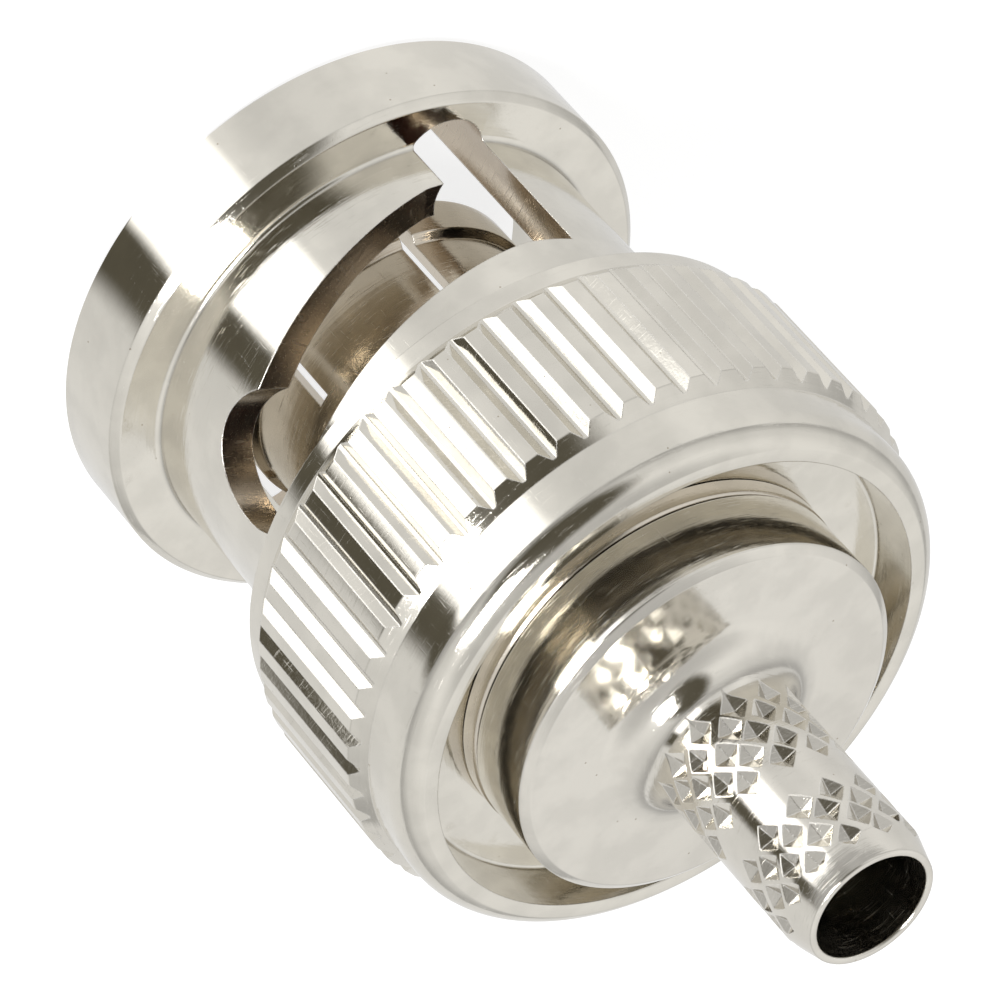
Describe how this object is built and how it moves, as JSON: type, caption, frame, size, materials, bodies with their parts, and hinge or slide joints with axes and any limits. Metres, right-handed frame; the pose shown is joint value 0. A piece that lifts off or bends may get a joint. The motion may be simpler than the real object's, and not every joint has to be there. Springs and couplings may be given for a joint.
{
  "type": "bnc connector",
  "caption": "Crimp cable plug with a knurled bayonet coupling nut, slotted spring contact, centre pin and a flanged nipple with dented bands.",
  "frame": {"origin": "centre of the coupling nut's front face, on the axis", "axes": "+Z along the plug's axis from the mating face to the crimp nipple; X and Y lie in the mating face"},
  "size_m": [0.0152, 0.0152, 0.0235],
  "materials": {
    "nickel_nut": "bright nickel plate on turned brass",
    "nickel_body": "bright nickel plate on turned brass",
    "nickel_contact": "bright nickel plate on turned brass",
    "nickel_rear": "bright nickel plate on turned brass",
    "silicone": "matte silicone rubber",
    "spring_steel": "rolled spring strip",
    "ptfe": "turned PTFE, waxy",
    "gold_pin": "gold plate"
  },
  "bodies": {
    "plug": {"main_body": "nickel_body", "spring_contact": "nickel_contact", "gasket": "silicone", "wave_washer_front": "spring_steel", "wave_washer_rear": "spring_steel", "retaining_collar": "nickel_body", "rear_body": "nickel_rear", "front_insulator": "ptfe", "rear_insulator": "ptfe", "centre_pin": "gold_pin"},
    "thrust_ring": {"thrust_washer": "nickel_body"},
    "nut": {"coupling_nut": "nickel_nut"}
  },
  "joints": [
    {"name": "nut_slide", "type": "slide", "parent": "plug", "child": "thrust_ring", "axis": [0, 0, -1], "range_m": [0, 0.0004], "stiffness_N_per_m": 250, "springref_m": -0.0006, "deforming": ["wave_washer_front", "wave_washer_rear"]},
    {"name": "nut_turn", "type": "hinge", "parent": "thrust_ring", "child": "nut", "pos_m": [0, 0, 0.0135], "axis": [0, 0, 1], "continuous": true}
  ]
}
